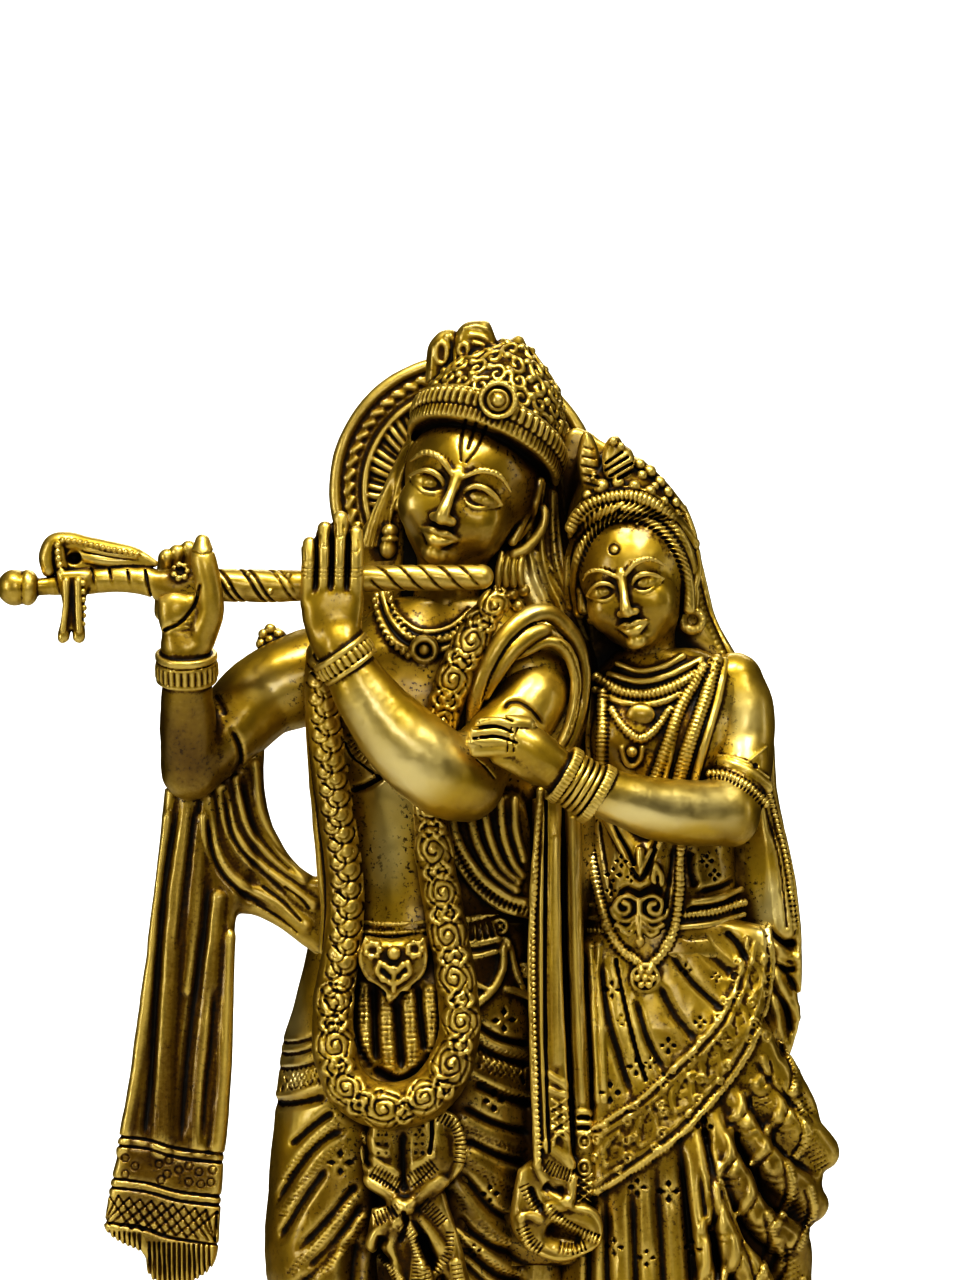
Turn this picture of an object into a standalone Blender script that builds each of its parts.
"""A cast brass statue of Radha and Krishna: the two figures are one casting, which stands on a low oval
lotus base. Metres, +Z up, the front faces -Y, and the origin is the centre of the base's underside.

The figures are modelled as clay is: round forms are merged on a grid of distances, cloth folds are
pressed into them, and the surface is read off as a mesh. Every point of the figures is a share of
GROUP_HEIGHT, written on a scale where the group is DESIGN_HEIGHT units tall from soles to crest.
In that scale x runs to the right seen from the front, y runs back and z runs up from the soles.
"""

import math
from collections import namedtuple

import bmesh
import bpy
import numpy as np
import openvdb

# Driving dimensions, in metres.
GROUP_HEIGHT = 0.650
BASE_HEIGHT = 0.040
BASE_MARGIN = 0.012
BASE_DEPTH_MARGIN = 0.010
SEAT_GAP = 0.0003
PETAL_COUNT = 28
PETAL_HEIGHT = 0.015
RIM_HEIGHT = 0.006
FOOT_HEIGHT = 0.008

# The scale that the figures are written in.
DESIGN_HEIGHT = 650.0
FOOTPRINT_X = (-118.0, 122.0)
FOOTPRINT_Y = (-58.0, 52.0)
GRID_STEP = 1.9
FIGURE_TRIANGLES = 7600
FAR = 12.0
FADE = 8.0

UNIT = GROUP_HEIGHT / DESIGN_HEIGHT

Shape = namedtuple("Shape", "low high distance")


def smooth_min(a, b, blend):
    """The nearer of two distances, rounded off where they are within blend of each other."""
    if blend <= 0:
        return np.minimum(a, b)
    near = np.clip(blend - np.abs(a - b), 0, None)
    return np.minimum(a, b) - near * near * (0.25 / blend)


def curve(points, per_span=8):
    """Points along a smooth Catmull-Rom curve through the given ones, all of their columns together."""
    p = np.array(points, np.float64)
    p = np.vstack([2 * p[0] - p[1], p, 2 * p[-1] - p[-2]])
    t = np.linspace(0, 1, per_span, endpoint=False)[:, None]
    spans = []
    for a, b, c, d in zip(p, p[1:], p[2:], p[3:]):
        spans.append(
            0.5 * (2 * b + (c - a) * t + (2 * a - 5 * b + 4 * c - d) * t**2 + (3 * b - 3 * c + d - a) * t**3)
        )
    return np.vstack([*spans, p[-2:-1]])


class Clay:
    """A solid, held as distances to its surface on a regular grid: negative inside."""

    def __init__(self, low, high, step):
        self.low, self.step = np.array(low, float), step
        counts = np.ceil((np.array(high, float) - self.low) / step).astype(int) + 1
        self.axes = [l + step * np.arange(n) for l, n in zip(self.low, counts)]
        self.distance = np.full(counts, FAR, np.float32)

    def window(self, low, high):
        """The part of the grid between two corners, and its coordinates along each axis."""
        cut = tuple(
            slice(max(0, np.searchsorted(axis, l) - 1), np.searchsorted(axis, h) + 1)
            for axis, l, h in zip(self.axes, low, high)
        )
        x, y, z = (axis[part].astype(np.float32) for axis, part in zip(self.axes, cut))
        return cut, x[:, None, None], y[None, :, None], z[None, None, :]

    def add(self, shape, blend=2.0):
        pad = blend + 2 * self.step
        cut, x, y, z = self.window(np.subtract(shape.low, pad), np.add(shape.high, pad))
        if 0 not in self.distance[cut].shape:
            self.distance[cut] = smooth_min(self.distance[cut], shape.distance(x, y, z), blend)

    def cut(self, shape, blend=1.0):
        pad = blend + 2 * self.step
        cut, x, y, z = self.window(np.subtract(shape.low, pad), np.add(shape.high, pad))
        if 0 not in self.distance[cut].shape:
            self.distance[cut] = -smooth_min(-self.distance[cut], shape.distance(x, y, z), blend)

    def press(self, drawing, before=1e3, after=-1e3):
        """Raises the surface by a drawing's heights between two depths, fading out towards them."""
        y = self.axes[1]
        share = np.clip(np.minimum(y - after, before - y) / FADE, 0, 1).astype(np.float32)
        for j in share.nonzero()[0]:
            self.distance[:, j, :] -= drawing.heights * share[j]

    def mesh(self, name):
        """A Blender mesh of the surface, in metres, its largest connected piece alone."""
        grid = openvdb.FloatGrid(FAR)
        grid.copyFromArray(np.clip(self.distance, -FAR, FAR))
        points, _, quads = grid.convertToPolygons(isovalue=0.0, adaptivity=0.0)
        places = (points * self.step + self.low) * UNIT
        mesh = bpy.data.meshes.new(name)
        mesh.from_pydata(places.tolist(), [], quads.tolist())
        keep_largest(mesh)
        return mesh


def keep_largest(mesh):
    """Removes every loose piece of a mesh but the one with the most vertices."""
    shell = bmesh.new()
    shell.from_mesh(mesh)
    unseen, pieces = set(shell.verts), []
    while unseen:
        edge, piece = [unseen.pop()], []
        while edge:
            vertex = edge.pop()
            piece.append(vertex)
            for link in vertex.link_edges:
                other = link.other_vert(vertex)
                if other in unseen:
                    unseen.remove(other)
                    edge.append(other)
        pieces.append(piece)
    pieces.sort(key=len)
    for piece in pieces[:-1]:
        bmesh.ops.delete(shell, geom=piece, context="VERTS")
    shell.to_mesh(mesh)
    shell.free()


class Drawing:
    """Heights over the front view of a clay's grid, which press() raises its surface by."""

    def __init__(self, clay):
        self.x, self.z = clay.axes[0], clay.axes[2]
        self.heights = np.zeros((len(self.x), len(self.z)), np.float32)

    def stroke(self, points, width, height):
        """A round ridge of that full width along a smooth line of points; a negative height is a groove."""
        line = curve(points)
        reach = width / 2
        low, high = line.min(0) - reach, line.max(0) + reach
        across = slice(*np.searchsorted(self.x, [low[0], high[0]]))
        along = slice(*np.searchsorted(self.z, [low[1], high[1]]))
        x, z = self.x[across][:, None], self.z[along][None, :]
        nearest = np.full(np.broadcast_shapes(x.shape, z.shape), 9.0)
        for a, b in zip(line, line[1:]):
            dx, dz = b - a
            t = np.clip(((x - a[0]) * dx + (z - a[1]) * dz) / max(dx * dx + dz * dz, 1e-9), 0, 1)
            nearest = np.minimum(nearest, np.hypot(x - a[0] - t * dx, z - a[1] - t * dz) / reach)
        self.heights[across, along] += height * np.clip(1 - nearest**2, 0, 1)

    def pleats(self, first, last, count, width, height):
        """Strokes spread evenly between two lines, the lines themselves included."""
        a, b = curve(first), curve(last)
        for share in np.linspace(0, 1, count):
            self.stroke(a[::8] * (1 - share) + b[::8] * share, width, height)


class Pose:
    """A place and a turn in space: tilt leans the top to +x, turn faces the front to +x, both in degrees."""

    def __init__(self, origin, tilt=0.0, turn=0.0):
        a, b = math.radians(tilt), math.radians(turn)
        lean = np.array([[math.cos(a), 0, math.sin(a)], [0, 1, 0], [-math.sin(a), 0, math.cos(a)]])
        face = np.array([[math.cos(b), -math.sin(b), 0], [math.sin(b), math.cos(b), 0], [0, 0, 1]])
        self.origin, self.matrix = np.array(origin, float), lean @ face

    def local(self, x, y, z):
        d = (x - self.origin[0], y - self.origin[1], z - self.origin[2])
        return [sum(np.float32(self.matrix[i, j]) * d[i] for i in range(3)) for j in range(3)]

    def world(self, u, v, w):
        return self.origin + self.matrix @ np.array([u, v, w], float)


WORLD = Pose((0, 0, 0))


def ball(centre, radii, pose=WORLD):
    """An ellipsoid whose centre and radii are in the pose's own axes."""
    r = np.array(radii, np.float32)
    middle, reach = pose.world(*centre), float(max(radii))

    def distance(x, y, z):
        u, v, w = pose.local(x, y, z)
        p = ((u - centre[0]) / r[0], (v - centre[1]) / r[1], (w - centre[2]) / r[2])
        near = np.sqrt(p[0] ** 2 + p[1] ** 2 + p[2] ** 2)
        slope = np.sqrt((p[0] / r[0]) ** 2 + (p[1] / r[1]) ** 2 + (p[2] / r[2]) ** 2)
        return near * (near - 1) / np.maximum(slope, 1e-6)

    return Shape(middle - reach, middle + reach, distance)


def limb(points, per_span=6, pose=WORLD):
    """A round bar of changing thickness along a smooth curve of (x, y, z, radius) points."""
    line = curve(points, per_span)
    line[:, :3] = [pose.world(*p) for p in line[:, :3]]
    reach = line[:, 3:].max()

    def distance(x, y, z):
        nearest = np.full(np.broadcast_shapes(x.shape, y.shape, z.shape), FAR, np.float32)
        for a, b in zip(line, line[1:]):
            way = (b - a)[:3]
            p = (x - a[0], y - a[1], z - a[2])
            t = np.clip(sum(k * q for k, q in zip(way, p)) / max(way @ way, 1e-9), 0, 1)
            off = sum((q - t * k) ** 2 for k, q in zip(way, p))
            nearest = np.minimum(nearest, np.sqrt(off) - a[3] - t * (b[3] - a[3]))
        return nearest

    return Shape(line[:, :3].min(0) - reach, line[:, :3].max(0) + reach, distance)


def loft(levels):
    """An upright form with oval sections, from levels of (z, left, right, y, half depth)."""
    levels = np.array(sorted(levels), float)
    fine = curve(levels, 6)
    low, high = fine[0, 0], fine[-1, 0]
    deepest = fine[:, 4].max()

    def distance(x, y, z):
        at = [np.interp(z, fine[:, 0], fine[:, k]).astype(np.float32) for k in range(1, 5)]
        half, deep = (at[1] - at[0]) / 2, at[3]
        p, q = (x - (at[0] + at[1]) / 2) / half, (y - at[2]) / deep
        near = np.sqrt(p * p + q * q)
        side = near * (near - 1) / np.maximum(np.sqrt((p / half) ** 2 + (q / deep) ** 2), 1e-6)
        end = np.abs(z - (low + high) / 2) - (high - low) / 2
        return -smooth_min(-side, -end, 4.0)

    corner = (fine[:, 1].min(), fine[:, 3].min() - deepest, low)
    return Shape(corner, (fine[:, 2].max(), fine[:, 3].max() + deepest, high), distance)


def cloth(outline, depth, thickness):
    """A slab with a smooth closed outline of (x, z) points, whose middle lies at y = depth(x, z)."""
    rim = curve([*outline, outline[0]], 5)
    rim_low, rim_high = rim.min(0), rim.max(0)

    def distance(x, y, z):
        flat_x, flat_z = x[:, 0, :], z[:, 0, :]
        nearest = np.full(np.broadcast_shapes(flat_x.shape, flat_z.shape), 1e6)
        inside = np.zeros(nearest.shape, bool)
        for a, b in zip(rim, rim[1:]):
            dx, dz = b - a
            t = np.clip(((flat_x - a[0]) * dx + (flat_z - a[1]) * dz) / max(dx * dx + dz * dz, 1e-9), 0, 1)
            nearest = np.minimum(nearest, (flat_x - a[0] - t * dx) ** 2 + (flat_z - a[1] - t * dz) ** 2)
            if abs(dz) > 1e-9:
                crosses = (a[1] > flat_z) != (b[1] > flat_z)
                inside ^= crosses & (flat_x < a[0] + (flat_z - a[1]) / dz * dx)
        side = (np.sqrt(nearest) * np.where(inside, -1, 1)).astype(np.float32)[:, None, :]
        face = np.abs(y - depth(flat_x, flat_z)[:, None, :]) - thickness / 2
        return -smooth_min(-side, -face, thickness / 2)

    middle = depth(rim[:, 0], rim[:, 1])
    low = (rim_low[0], middle.min() - thickness, rim_low[1])
    return Shape(low, (rim_high[0], middle.max() + thickness, rim_high[1]), distance)


def disc(centre, radius, thickness):
    """A round plate that faces the front."""
    low = np.subtract(centre, (radius, thickness, radius))

    def distance(x, y, z):
        side = np.hypot(x - centre[0], z - centre[2]) - radius
        return -smooth_min(-side, thickness / 2 - np.abs(y - centre[1]), 1.5)

    return Shape(low, np.add(centre, (radius, thickness, radius)), distance)


def hoop(centre, radius, thickness, pose=WORLD, upright=False):
    """A round ring: it lies flat in the pose, or stands facing the front where it is upright."""
    middle, reach = pose.world(*centre), radius + thickness

    def distance(x, y, z):
        u, v, w = pose.local(x, y, z)
        u, v, w = u - centre[0], v - centre[1], w - centre[2]
        if upright:
            v, w = w, v
        return np.hypot(np.hypot(u, v) - radius, w) - thickness

    return Shape(middle - reach, middle + reach, distance)


def seen(*places):
    """Points (x, z) of the scale from places across and down the front view, in its half units."""
    return [((across - 580) / 2, (1620 - down) / 2) for across, down in places]


def bar(*rows):
    """A round bar through (across, down, depth, radius) places of the front view."""
    return limb(
        [((across - 580) / 2, depth, (1620 - down) / 2, radius) for across, down, depth, radius in rows],
        4
    )


def knob(across, down, depth, *radii):
    return ball(((across - 580) / 2, depth, (1620 - down) / 2), radii)


def slab(outline, depth, thickness):
    """Cloth with an outline in places of the front view, at one depth or at depth(x, z)."""
    at = depth if callable(depth) else lambda x, z: depth + 0 * x * z
    return cloth(seen(*outline), at, thickness)


# Poses of the two heads. Krishna's leans towards Radha's, and hers towards his.
KRISHNA_HEAD = Pose((-57, -8, 565), tilt=17.5, turn=-10)
RADHA_HEAD = Pose((27, -12, 519), tilt=-12.5, turn=-12)
HALO_CENTRE = (-58, 25, 567)
HALO_RADIUS = 69.0
FLUTE_Y = -52


def add_head(clay, pose, size):
    """A head with its face to the front, size times the scale's 86 units from chin to crown of skull."""

    def form(centre, radii, blend):
        clay.add(ball(np.multiply(centre, size), np.multiply(radii, size), pose), blend)

    form((0, 2, 8), (33, 38, 36), 1)
    form((0, -5, -12), (29, 32, 31), 8)
    form((0, -26, -34), (10, 9, 8), 8)
    form((0, -41, -6), (4, 5, 12), 4)
    form((0, -36, -27), (9, 4, 4), 3)
    form((0, -34, 10), (24, 6, 5), 5)
    for side in (-1, 1):
        form((side * 15, -25, -14), (13, 11, 14), 8)
        form((side * 34, 2, -4), (4, 5, 13), 3)


def add_halo(clay):
    x, y, z = HALO_CENTRE
    clay.add(disc(HALO_CENTRE, HALO_RADIUS - 1.5, 6), 0.5)
    for radius, thick in ((HALO_RADIUS - 3.4, 3.4), (HALO_RADIUS - 18, 2.6)):
        clay.add(hoop((x, y - 1, z), radius, thick, upright=True), 1)
    clay.add(hoop((x, y + 1, z), 22, 4, upright=True), 4)


def add_krishna_crown(clay):
    pose = KRISHNA_HEAD
    clay.add(ball((1.5, 4, 34), (38, 37, 26), pose), 2)
    clay.add(ball((1.5, 3, 50), (30, 30, 32), pose), 6)
    clay.add(hoop((1.5, 2, 28), 36, 4, pose), 2)
    clay.add(ball((2, -32, 46), (9, 5, 9), pose), 1)
    clay.add(limb([(-30, 8, 60, 6), (-34, 6, 71, 6)], 4, pose), 2)
    clay.add(limb([(-20, 8, 64, 7), (-22, 4, 73, 8)], 4, pose), 2)
    clay.add(limb([(-8, 8, 68, 7), (-6, 4, 77, 7)], 4, pose), 2)
    clay.add(limb([(8, 6, 70, 6), (14, 2, 76, 5)], 4, pose), 2)


def add_radha_crown(clay):
    pose = RADHA_HEAD
    clay.add(ball((2, 4, 16), (33, 33, 37), pose), 2)
    clay.add(ball((0, 2, 42), (22, 24, 24), pose), 5)
    clay.add(hoop((0, -2, 21), 28, 4, pose), 2)
    for u, w in ((-14, 50), (0, 54), (13, 48)):
        clay.add(ball((u, -14, w - 12), (7, 6, 13), pose), 3)


def add_krishna_body(clay):
    levels = [
        (508, -96, -36, -2, 20),
        (485, -138, -10, -2, 27),
        (462, -142, -2, -2, 31),
        (430, -134, -4, -2, 31),
        (395, -130, -14, -2, 28),
        (360, -133, -22, -2, 28),
        (330, -138, -20, -2, 32),
        (295, -146, -20, -2, 36),
        (255, -150, -24, -2, 36),
        (230, -150, -26, -2, 34),
    ]
    clay.add(loft(levels))
    clay.add(limb([(-62, -4, 545, 17), (-66, -4, 520, 16), (-68, -2, 496, 19)]), 8)
    clay.add(loft([(352, -34, 6, 6, 26), (250, -34, 2, 6, 28), (165, -38, -4, 4, 26)]), 4)
    clay.add(
        slab(
            [
                (364, 934), (394, 938), (426, 934), (428, 962), (416, 980), (393, 1002), (366, 976),
                (360, 956)
            ],
            -36, 14
        ),
        1.5
    )


def add_krishna_legs(clay):
    standing = [(-55, 0, 290, 33), (-56, -3, 220, 32), (-60, -4, 160, 30), (-72, 0, 92, 24), (-84, 4, 42, 17)]
    crossing = [
        (-116, -4, 280, 34), (-123, -9, 220, 33), (-126, -17, 165, 30), (-104, -22, 98, 23),
        (-76, -20, 50, 16)
    ]
    clay.add(limb(standing), 6)
    clay.add(limb(crossing), 5)
    clay.add(limb([(-86, 6, 36, 12), (-88, 6, 12, 11)]), 3)
    clay.add(limb([(-70, -22, 44, 11), (-64, -24, 14, 10)]), 3)
    clay.add(limb([(-88, 2, 8, 10), (-96, -21, 8, 9), (-102, -38, 6, 7)]), 4)
    clay.add(limb([(-64, -22, 8, 10), (-57, -42, 8, 9), (-52, -56, 6, 7)]), 4)
    clay.add(
        slab(
            [
                (364, 1112), (440, 1112), (452, 1150), (440, 1182), (412, 1206), (398, 1206),
                (372, 1188), (360, 1150)
            ],
            -40, 18
        ),
        3
    )
    clay.add(
        slab(
            [
                (374, 1212), (400, 1206), (424, 1238), (438, 1276), (434, 1330), (420, 1390),
                (400, 1380), (398, 1300), (370, 1246)
            ],
            -44, 12
        ),
        2
    )
    clay.add(
        slab(
            [
                (408, 1210), (442, 1184), (456, 1214), (470, 1262), (478, 1330), (470, 1400),
                (450, 1390), (446, 1320)
            ],
            -40, 12
        ),
        2
    )


def add_krishna_arms(clay):
    clay.add(
        bar(
            (326, 668, -2, 22), (298, 680, -4, 23.5), (264, 695, -8, 21.5), (238, 718, -14, 20.5),
            (208, 750, -22, 17), (192, 770, -27, 14.2)
        ),
        6
    )
    clay.add(
        bar(
            (190, 772, -27, 13.8), (189, 740, -35, 14.2), (189, 704, -44, 13.4), (188, 676, -50, 11.5),
            (186, 650, -52, 11)
        ),
        5
    )
    clay.add(bar((188, 682, -50, 13), (187, 660, -52, 13)), 1)
    clay.add(knob(186, 624, -52, 12, 8.5, 15), 4)
    clay.add(
        bar(
            (203, 640, -55, 7), (213, 612, -59, 6.6), (211, 585, -61, 6.6), (206, 560, -61, 6.2),
            (205, 543, -59, 4.0)
        ),
        2
    )
    clay.add(bar((172, 640, -55, 6.5), (168, 618, -58, 6.2), (178, 602, -61, 5.0)), 2)
    for across, top in ((166, 558), (177, 553), (188, 549)):
        clay.add(bar((across, 612, -44, 5), (across - 1, 585, -38, 4.6), (across + 2, top, -44, 4.2)), 1)
    clay.add(bar((545, 676, -16, 17.5), (532, 716, -24, 19), (500, 765, -40, 18.5), (470, 786, -50, 18)), 5)
    clay.add(
        bar(
            (468, 784, -49, 18.5), (446, 776, -53, 20.5), (424, 758, -56, 21), (400, 736, -58, 19.5),
            (372, 702, -60, 16.2), (352, 668, -60, 12.8), (342, 646, -60, 11.5)
        ),
        6
    )
    clay.add(bar((352, 666, -60, 14), (340, 648, -60, 14)), 1)
    clay.add(knob(335, 616, -58, 15.5, 7.5, 18), 5)
    for across, top in ((311, 540), (327, 525), (342, 518), (358, 535)):
        clay.add(bar((across, 598, -60, 4), (across, 570, -63, 4.2), (across, top, -62, 3.8)), 0.8)


def add_flute(clay):
    y = FLUTE_Y
    clay.add(
        bar(
            (34, 588, y, 4.6), (84, 583, y, 5.8), (120, 580, y, 6.2), (176, 590, y, 8.0),
            (262, 586, y, 8.3), (330, 582, y, 6.2), (430, 578, y, 6.4), (481, 577, y, 6.3)
        ),
        1
    )
    clay.add(knob(18, 588, y, 8.4, 8.4, 9.0), 0.8)
    clay.add(knob(31, 588, y, 5.6, 8.2, 9.0), 0.6)
    clay.add(bar((68, 580, y - 4, 5.0), (69, 606, y - 5, 4.4), (66, 636, y - 4, 4.4)), 1)
    clay.add(bar((82, 578, y - 4, 5.0), (83, 606, y - 5, 4.4), (84, 636, y - 4, 4.2)), 1)
    clay.add(
        bar(
            (52, 570, y, 4), (51, 556, y, 4.6), (57, 545, y, 5.0), (70, 542, y, 4.6),
            (118, 551, y, 4.4), (157, 564, y, 2.4)
        ),
        1
    )
    clay.add(slab([(54, 560), (70, 545), (110, 552), (150, 562), (110, 572), (60, 576)], y + 1, 6), 1)


def add_garland(clay):
    left = [
        (320, 654, -24, 7.5), (322, 700, -33, 8.5), (334, 800, -34, 9), (345, 880, -33, 9.5),
        (343, 940, -34, 9.5), (334, 1000, -37, 10)
    ]
    bottom = [(336, 1056, -41, 11), (356, 1092, -45, 11.5), (394, 1104, -47, 12), (434, 1088, -45, 12)]
    right = [
        (458, 1040, -41, 10.5), (456, 980, -38, 10), (444, 910, -36, 9.8), (434, 850, -36, 9.5),
        (432, 800, -36, 9)
    ]
    top = [
        (440, 730, -36, 9), (449, 695, -39, 9), (464, 656, -41, 8.8), (480, 624, -38, 8),
        (494, 604, -32, 7)
    ]
    clay.add(bar(*left, *bottom, *right, *top), 1)


def add_krishna_cloth(clay):
    """The shawl: over the shoulder and down between the figures, down the back, and the end at the elbow."""
    for line in SHAWL_ARCS:
        clay.add(bar(*line), 2.0)
    panel = [
        (163, 790), (158, 850), (148, 940), (140, 1000), (130, 1080), (118, 1145), (108, 1190),
        (102, 1222), (106, 1236),
        (124, 1248), (142, 1258), (148, 1280), (170, 1290), (196, 1282), (214, 1264), (219, 1220),
        (222, 1170), (229, 1080),
        (231, 1000), (234, 925), (250, 860), (240, 790), (210, 770),
    ]  # fmt: skip
    clay.add(slab(panel, lambda x, z: -14 - 0.02 * (420 - z) + 0 * x, 10), 3)
    swag = [
        (196, 780), (250, 745), (262, 740), (263, 790), (272, 828), (290, 860), (312, 878),
        (330, 880), (330, 960)
    ]
    clay.add(
        slab([*swag, (306, 950), (282, 932), (255, 918), (232, 912), (216, 880), (200, 840)], -12, 12),
        3
    )
    first = [
        (548, 770), (562, 800), (562, 900), (565, 1000), (569, 1070), (572, 1150), (575, 1180),
        (570, 1203)
    ]
    clay.add(
        slab(
            [
                *first, (552, 1206), (546, 1190), (534, 1162), (532, 1050), (530, 950), (533, 860),
                (538, 790)
            ],
            -38, 8
        ),
        1.5
    )
    second = [
        (564, 800), (584, 800), (588, 900), (592, 1000), (596, 1110), (596, 1190), (576, 1196),
        (572, 1110), (566, 980)
    ]
    clay.add(slab(second, -32, 8), 1.5)
    clay.add(slab([(532, 800), (600, 800), (606, 1000), (606, 1180), (540, 1180), (532, 1000)], -20, 22), 2)
    flare = [
        (518, 1168), (536, 1160), (560, 1190), (590, 1204), (602, 1222), (598, 1242), (580, 1254),
        (560, 1260)
    ]
    clay.add(slab([*flare, (538, 1254), (518, 1240), (510, 1214)], -36, 12), 3)
    clay.add(slab([(500, 1180), (606, 1200), (606, 1290), (500, 1290)], -18, 16), 3)
    clay.add(
        loft(
            [
                (556, -92, -24, 12, 20), (530, -98, -20, 14, 20), (500, -110, -14, 14, 22),
                (470, -116, -12, 14, 22), (430, -108, -18, 14, 20), (405, -96, -30, 14, 16)
            ]
        ),
        4
    )
    back = [
        (330, 690), (400, 660), (560, 650), (588, 720), (580, 900), (560, 1150), (470, 1180),
        (440, 900), (360, 760)
    ]
    clay.add(slab(back, 26, 14), 5)


# The shawl's folds where they pass over the left shoulder, as (across, down, depth, radius) places.
SHAWL_ARCS = (
    (
        (486, 690, -36, 5), (500, 655, -38, 6), (530, 632, -34, 7), (562, 640, -28, 8),
        (588, 680, -22, 8), (596, 740, -20, 8), (590, 800, -22, 8)
    ),
    ((470, 650, -30, 6), (510, 618, -26, 8), (556, 612, -18, 10), (590, 640, -14, 10), (604, 700, -12, 10)),
    ((462, 828, -32, 6), (470, 870, -32, 8), (500, 900, -30, 9), (530, 910, -28, 8)),
    ((486, 810, -30, 7), (506, 850, -28, 9), (534, 880, -26, 8)),
)


def add_radha_body(clay):
    clay.add(limb([(33, -8, 496, 13), (36, -6, 474, 15)]), 5)
    upper = [
        (486, 20, 62, -2, 16), (474, 8, 84, -1, 22), (463, 3, 92, -1, 25), (440, 0, 86, -2, 28),
        (415, 4, 80, -1, 27), (385, 4, 79, 0, 25)
    ]
    lower = [
        (355, -1, 82, 0, 26), (325, -4, 92, 0, 30), (290, -7, 94, 0, 35), (250, -10, 94, 0, 39),
        (200, -12, 94, 0, 42),
        (140, -13, 96, 0, 43), (80, -13, 98, 0, 45), (40, -15, 106, 0, 48), (8, -18, 116, 0, 50),
    ]  # fmt: skip
    clay.add(loft([*upper, *lower]))
    for across in (628, 692):
        clay.add(knob(across, 738, -20, 16, 13, 16), 8)
    for x in (36, 68):
        clay.add(limb([(x, -30, 8, 9), (x - 2, -54, 6, 7)]), 4)


# The gathered folds that swing out at the right of the skirt, as (across, down, depth, radius) places.
SKIRT_FOLDS = (
    (
        (772, 1020, -6, 7), (786, 1050, -8, 8.5), (806, 1084, -10, 9.5), (822, 1120, -10, 10),
        (826, 1150, -10, 10), (816, 1186, -8, 9), (806, 1220, -6, 8)
    ),
    (
        (752, 1062, -18, 7), (776, 1100, -20, 9), (798, 1146, -20, 10.5), (808, 1190, -20, 11),
        (812, 1228, -18, 10.5), (800, 1272, -16, 10), (800, 1350, -14, 12), (806, 1450, -12, 14),
        (808, 1560, -10, 14)
    ),
    (
        (738, 1096, -28, 6), (758, 1142, -30, 8.5), (778, 1190, -30, 10), (790, 1238, -30, 10.5),
        (790, 1300, -28, 11), (784, 1400, -26, 12), (786, 1560, -26, 14)
    ),
    (
        (724, 1126, -35, 5), (738, 1172, -38, 7), (752, 1224, -38, 8.5), (760, 1280, -38, 9.5),
        (758, 1380, -36, 11), (754, 1560, -38, 13)
    ),
    (
        (712, 1156, -39, 4), (718, 1210, -42, 5.5), (726, 1270, -43, 7), (728, 1370, -42, 9),
        (722, 1560, -42, 12)
    ),
)


def add_radha_skirt(clay):
    for fold in SKIRT_FOLDS:
        clay.add(bar(*fold), 2.0)
    clay.add(
        limb(
            [
                (98, 16, 300, 10), (108, 18, 250, 14), (104, 20, 180, 18), (98, 20, 90, 22),
                (96, 18, 20, 24)
            ]
        ),
        8
    )
    edge = [
        (592, 1192), (640, 1164), (682, 1132), (716, 1096), (746, 1056), (766, 1012), (773, 968),
        (770, 930)
    ]
    apron = [(576, 940), (590, 1130), *edge, (700, 920), (630, 925)]
    clay.add(slab(apron, lambda x, z: -28 + 0.0028 * (x - 36) ** 2 - 0.03 * (340 - z), 16), 3)


def add_radha_arms(clay):
    clay.add(
        bar(
            (738, 684, -4, 14), (747, 712, -7, 15), (748, 745, -10, 15), (742, 780, -20, 14.6),
            (728, 810, -30, 15.2)
        ),
        5
    )
    clay.add(
        bar(
            (724, 812, -30, 15.6), (692, 813, -39, 16.0), (656, 808, -47, 15.4),
            (622, 798, -55, 13.6), (594, 788, -60, 12), (570, 778, -63, 11)
        ),
        5
    )
    clay.add(bar((562, 776, -63, 10), (544, 760, -66, 11.5), (527, 746, -68, 11.2), (512, 738, -69, 9.5)), 4)
    for down, reach in ((722, 482), (731, 476), (740, 473), (748, 476)):
        clay.add(bar((526, down + 2, -71, 4.5), (505, down, -74, 4.1), (reach, down + 1, -72, 3.7)), 0.8)
    clay.add(bar((536, 772, -66, 6), (516, 762, -70, 5.4), (498, 754, -70, 4.6)), 2)
    for across, down in ((564, 776), (576, 783), (588, 790), (600, 796)):
        clay.add(
            bar(
                (across - 3, down - 24, -62, 4), (across - 4, down, -74, 4),
                (across + 2, down + 20, -62, 4)
            ),
            1
        )
    clay.add(bar((724, 774, -36, 4), (742, 786, -36, 4), (762, 790, -26, 4)), 1)


def add_radha_veil(clay):
    outline = [
        (556, 452), (572, 426), (590, 428), (606, 438), (626, 446), (642, 455), (656, 470),
        (672, 482), (686, 498), (696, 518),
        (702, 545), (708, 572), (714, 600), (722, 624), (736, 652), (752, 674), (768, 700),
        (778, 740), (780, 790), (790, 836),
        (799, 880), (804, 920), (806, 960), (805, 1000), (800, 1040), (780, 1080), (720, 1080),
        (640, 1060), (600, 900), (580, 700), (566, 560),
    ]  # fmt: skip
    clay.add(slab(outline, lambda x, z: 16 - 14 * np.clip((x - 62) / 50, 0, 1) ** 2 + 0 * z, 8), 4)
    levels = [
        (598, 8, 30, 10, 12), (575, 0, 46, 14, 22), (540, -6, 62, 16, 26), (505, -2, 70, 18, 24),
        (475, 0, 88, 18, 22),
        (430, -2, 96, 18, 22), (370, 0, 104, 18, 22), (300, 4, 110, 18, 26), (270, 4, 112, 18, 28),
    ]  # fmt: skip
    clay.add(loft(levels), 4)


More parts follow.
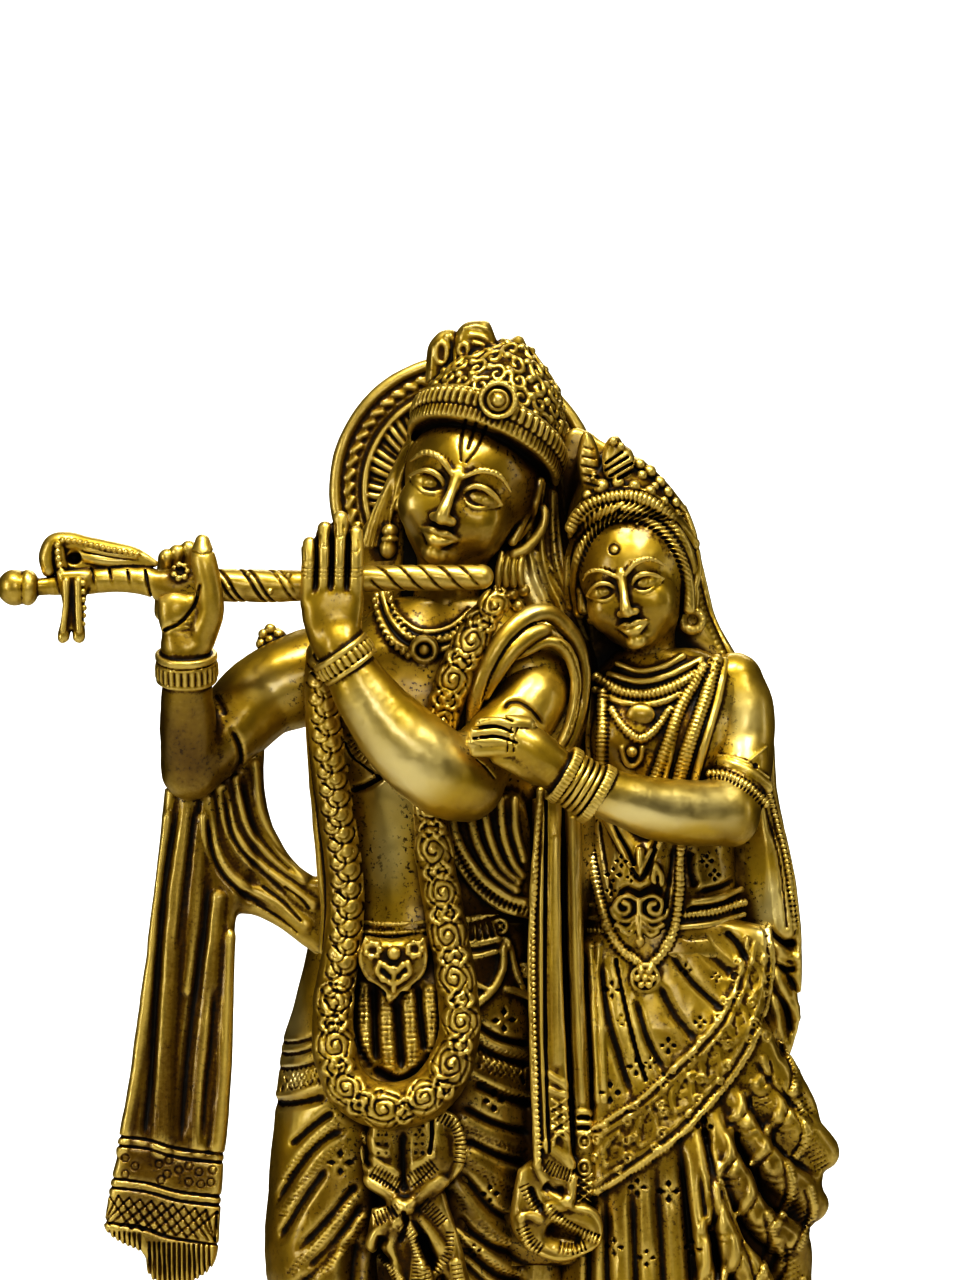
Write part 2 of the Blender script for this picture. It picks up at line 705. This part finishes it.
def fold_lines(clay):
    """The larger carving of the clothes: folds, belts and borders, seen from the front."""
    drawing = Drawing(clay)
    for line in (
        ((352, 926), (386, 930), (424, 926)), ((276, 1098), (300, 1092), (322, 1084)),
        ((452, 925), (472, 922), (530, 904))
    ):
        drawing.stroke(seen(*line), 5, 1.8)
    for line in (
        ((376, 984), (378, 1062)), ((399, 1000), (402, 1070)), ((421, 984), (424, 1054)),
        ((358, 982), (362, 1060))
    ):
        drawing.stroke(seen(*line), 5, -3)
    thigh_folds = (
        ((290, 1147), (312, 1127), (334, 1110)), ((276, 1206), (300, 1166), (344, 1127)),
        ((280, 1240), (305, 1198), (328, 1166)),
        ((300, 1248), (330, 1216), (358, 1182)), ((306, 1268), (338, 1236), (364, 1202)),
        ((472, 1033), (498, 1046), (530, 1058)),
        ((474, 1083), (498, 1096), (532, 1108)), ((464, 1108), (490, 1124), (528, 1138)),
        ((460, 1139), (500, 1161), (528, 1173)),
        ((454, 1178), (474, 1192), (520, 1232)), ((456, 1219), (496, 1244), (524, 1258)),
        ((462, 1252), (506, 1290), (530, 1300)),
    )  # fmt: skip
    for line in thigh_folds:
        drawing.stroke(seen(*line), 6, -3.6)
    for step in range(7):
        down = 1300 + 45 * step
        drawing.stroke(seen((276 + 10 * step, down), (310 + 6 * step, down - 26), (346, down - 62)), 6, -3)
        drawing.stroke(seen((460, down - 40), (490, down - 14), (524 - 7 * step, down)), 6, -3)
    for line in (
        ((366, 1124), (366, 1152)), ((405, 1132), (407, 1160), (408, 1196)),
        ((414, 1222), (440, 1280), (446, 1340))
    ):
        drawing.stroke(seen(*line), 6, -3)
    shawl_folds = (
        ((176, 800), (163, 880), (151, 1060), (142, 1215)),
        ((207, 885), (189, 1000), (179, 1100), (174, 1210)),
        ((220, 900), (206, 1040), (195, 1142)), ((205, 815), (214, 862), (262, 898)),
        ((222, 790), (231, 835), (284, 888)),
    )  # fmt: skip
    for line in shawl_folds:
        drawing.stroke(seen(*line), 6, -3)
    pleats = (
        ((600, 960), (607, 1010), (632, 1096)), ((636, 1000), (648, 1040), (664, 1070)),
        ((660, 986), (674, 1014), (696, 1040)),
        ((672, 956), (694, 984), (722, 1010)), ((700, 938), (712, 956), (738, 980)),
        ((606, 1192), (602, 1400), (600, 1580)),
        ((632, 1178), (633, 1400), (634, 1580)), ((656, 1162), (663, 1400), (668, 1580)),
        ((680, 1140), (692, 1400), (704, 1580)),
    )  # fmt: skip
    for line in pleats:
        drawing.stroke(seen(*line), 6, -3.4)
    for line in (
        ((594, 1128), (640, 1098), (700, 1042), (740, 976), (748, 940)),
        ((592, 1192), (682, 1132), (746, 1056), (770, 950))
    ):
        drawing.stroke(seen(*line), 5, 2.4)
    for line in (
        ((586, 818), (603, 910), (638, 962), (674, 930), (682, 846)),
        ((598, 680), (645, 697), (718, 660)), ((704, 668), (667, 745), (655, 780))
    ):
        drawing.stroke(seen(*line), 6, 2.4)
    drawing.stroke(seen((540, 1600), (620, 1606), (700, 1606), (812, 1600)), 7, 2.5)
    return drawing


def back_folds(clay):
    """The plainer folds of the hair, shawl, dhoti, skirt and veil, seen from behind."""
    drawing = Drawing(clay)
    drawing.pleats([(-96, 480), (-92, 408)], [(-20, 480), (-34, 408)], 7, 6, -2.4)
    drawing.pleats([(-96, 400), (-62, 360), (-50, 220)], [(-2, 480), (-4, 360), (-12, 220)], 6, 7, -2.6)
    drawing.pleats([(-146, 300), (-148, 200), (-140, 110)], [(-30, 210), (-34, 160), (-60, 100)], 8, 7, -2.8)
    drawing.pleats([(10, 540), (-2, 420), (2, 280)], [(50, 540), (92, 420), (112, 280)], 8, 7, -2.8)
    drawing.pleats([(-6, 270), (-8, 200), (-14, 5)], [(86, 270), (110, 200), (112, 5)], 9, 7, -3.2)
    return drawing


def shape_figures():
    """The two figures as one solid mesh, standing with their soles at the height of the base's top."""
    clay = Clay((-295, -84, -4), (138, 58, 654), GRID_STEP)
    add_krishna_body(clay)
    add_krishna_cloth(clay)
    add_krishna_legs(clay)
    add_radha_body(clay)
    add_radha_skirt(clay)
    add_radha_veil(clay)
    clay.press(fold_lines(clay), before=2)
    clay.press(back_folds(clay), after=12)
    add_halo(clay)
    add_garland(clay)
    add_krishna_arms(clay)
    add_radha_arms(clay)
    add_flute(clay)
    add_head(clay, KRISHNA_HEAD, 1.0)
    add_krishna_crown(clay)
    add_head(clay, RADHA_HEAD, 0.8)
    add_radha_crown(clay)
    flat_sole = np.broadcast_to(-clay.axes[2].astype(np.float32), clay.distance.shape)
    clay.distance = np.maximum(clay.distance, flat_sole)
    return clay.mesh("figures")


def material(name, colour, roughness):
    made = bpy.data.materials.new(name)
    made.use_nodes = True
    shader = made.node_tree.nodes["Principled BSDF"]
    shader.inputs["Base Color"].default_value = (*colour, 1)
    shader.inputs["Metallic"].default_value = 1.0
    shader.inputs["Roughness"].default_value = roughness
    return made


def place(mesh, name, finish):
    mesh.materials.append(finish)
    thing = bpy.data.objects.new(name, mesh)
    bpy.context.scene.collection.objects.link(thing)
    return thing


def base_mesh():
    """An oval plinth: a foot, a fluted ring of lotus petals, and a rim that the figures stand on."""
    half_x = UNIT * (FOOTPRINT_X[1] - FOOTPRINT_X[0]) / 2 + BASE_MARGIN
    half_y = UNIT * (FOOTPRINT_Y[1] - FOOTPRINT_Y[0]) / 2 + BASE_DEPTH_MARGIN
    around = PETAL_COUNT * 4
    neck = BASE_HEIGHT - RIM_HEIGHT
    waist = FOOT_HEIGHT + PETAL_HEIGHT
    profile = [
        (0.0, 0.0, 0.0),
        (FOOT_HEIGHT, 0.0, 0.0),
        (FOOT_HEIGHT + 0.001, -0.004, 0.0),
        (FOOT_HEIGHT + 0.4 * PETAL_HEIGHT, -0.001, 0.004),
        (waist, -0.010, 0.002),
        (waist + 0.003, -0.011, 0.0),
        (neck, -0.004, 0.001),
        (neck + 0.0005, -0.002, 0.0),
        (BASE_HEIGHT - 0.001, -0.002, 0.0),
        (BASE_HEIGHT, -0.003, 0.0),
    ]
    shell = bmesh.new()
    rings = []
    for z, inset, petal in profile:
        ring = []
        for i in range(around):
            angle = 2 * math.pi * i / around
            bulge = inset + petal * (abs(math.sin(angle * PETAL_COUNT / 2)) - 0.5)
            x, y = (half_x + bulge) * math.cos(angle), (half_y + bulge) * math.sin(angle)
            ring.append(shell.verts.new((x, y, z)))
        rings.append(ring)
    for below, above in zip(rings, rings[1:]):
        for i in range(around):
            j = (i + 1) % around
            shell.faces.new((below[i], below[j], above[j], above[i]))
    shell.faces.new(reversed(rings[0]))
    shell.faces.new(rings[-1])
    mesh = bpy.data.meshes.new("base")
    shell.to_mesh(mesh)
    shell.free()
    return mesh


def main():
    for old in list(bpy.data.objects):
        bpy.data.objects.remove(old, do_unlink=True)
    brass = material("brass", (0.52, 0.39, 0.11), 0.32)

    base = place(base_mesh(), "base", brass)
    base.location = (0, 0, 0)

    figures = place(shape_figures(), "figures", brass)
    centre_x, centre_y = sum(FOOTPRINT_X) / 2 * UNIT, sum(FOOTPRINT_Y) / 2 * UNIT
    figures.location = (-centre_x, -centre_y, BASE_HEIGHT + SEAT_GAP)
    triangles = 2 * len(figures.data.polygons)
    thinner = figures.modifiers.new("thinner", "DECIMATE")
    thinner.ratio = min(1.0, FIGURE_TRIANGLES / triangles)
    thinner.use_collapse_triangulate = True


main()
